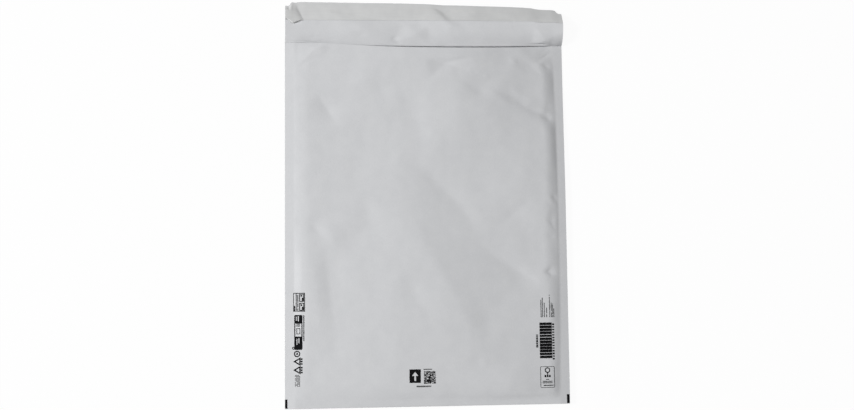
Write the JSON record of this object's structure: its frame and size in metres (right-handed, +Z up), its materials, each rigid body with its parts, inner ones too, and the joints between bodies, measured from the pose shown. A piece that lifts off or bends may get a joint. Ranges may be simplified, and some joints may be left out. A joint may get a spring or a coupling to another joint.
{
  "type": "padded envelope",
  "caption": "Self-seal padded mailing envelope: a folded white paper sheet round a bubble film pouch, open at the mouth, flap laid flat under its release strip.",
  "frame": {"origin": "on the table surface under the middle of the opened-out envelope's bounding box", "axes": "+X across the width, to the right as the printed front is read; +Y from the bottom fold to the flap; +Z up, out of the front panel"},
  "size_m": [0.29, 0.4188, 0.0125],
  "materials": {
    "white_paper": "matt white kraft, faintly calendered",
    "bubble_film": "translucent polyethylene film",
    "adhesive": "tacky hot-melt adhesive",
    "release_paper": "siliconed, slightly glossy"
  },
  "bodies": {
    "root": {"outer_paper": "white_paper", "bubble_liner": "bubble_film", "seal_adhesive": "adhesive", "release_liner": "release_paper"}
  },
  "joints": []
}
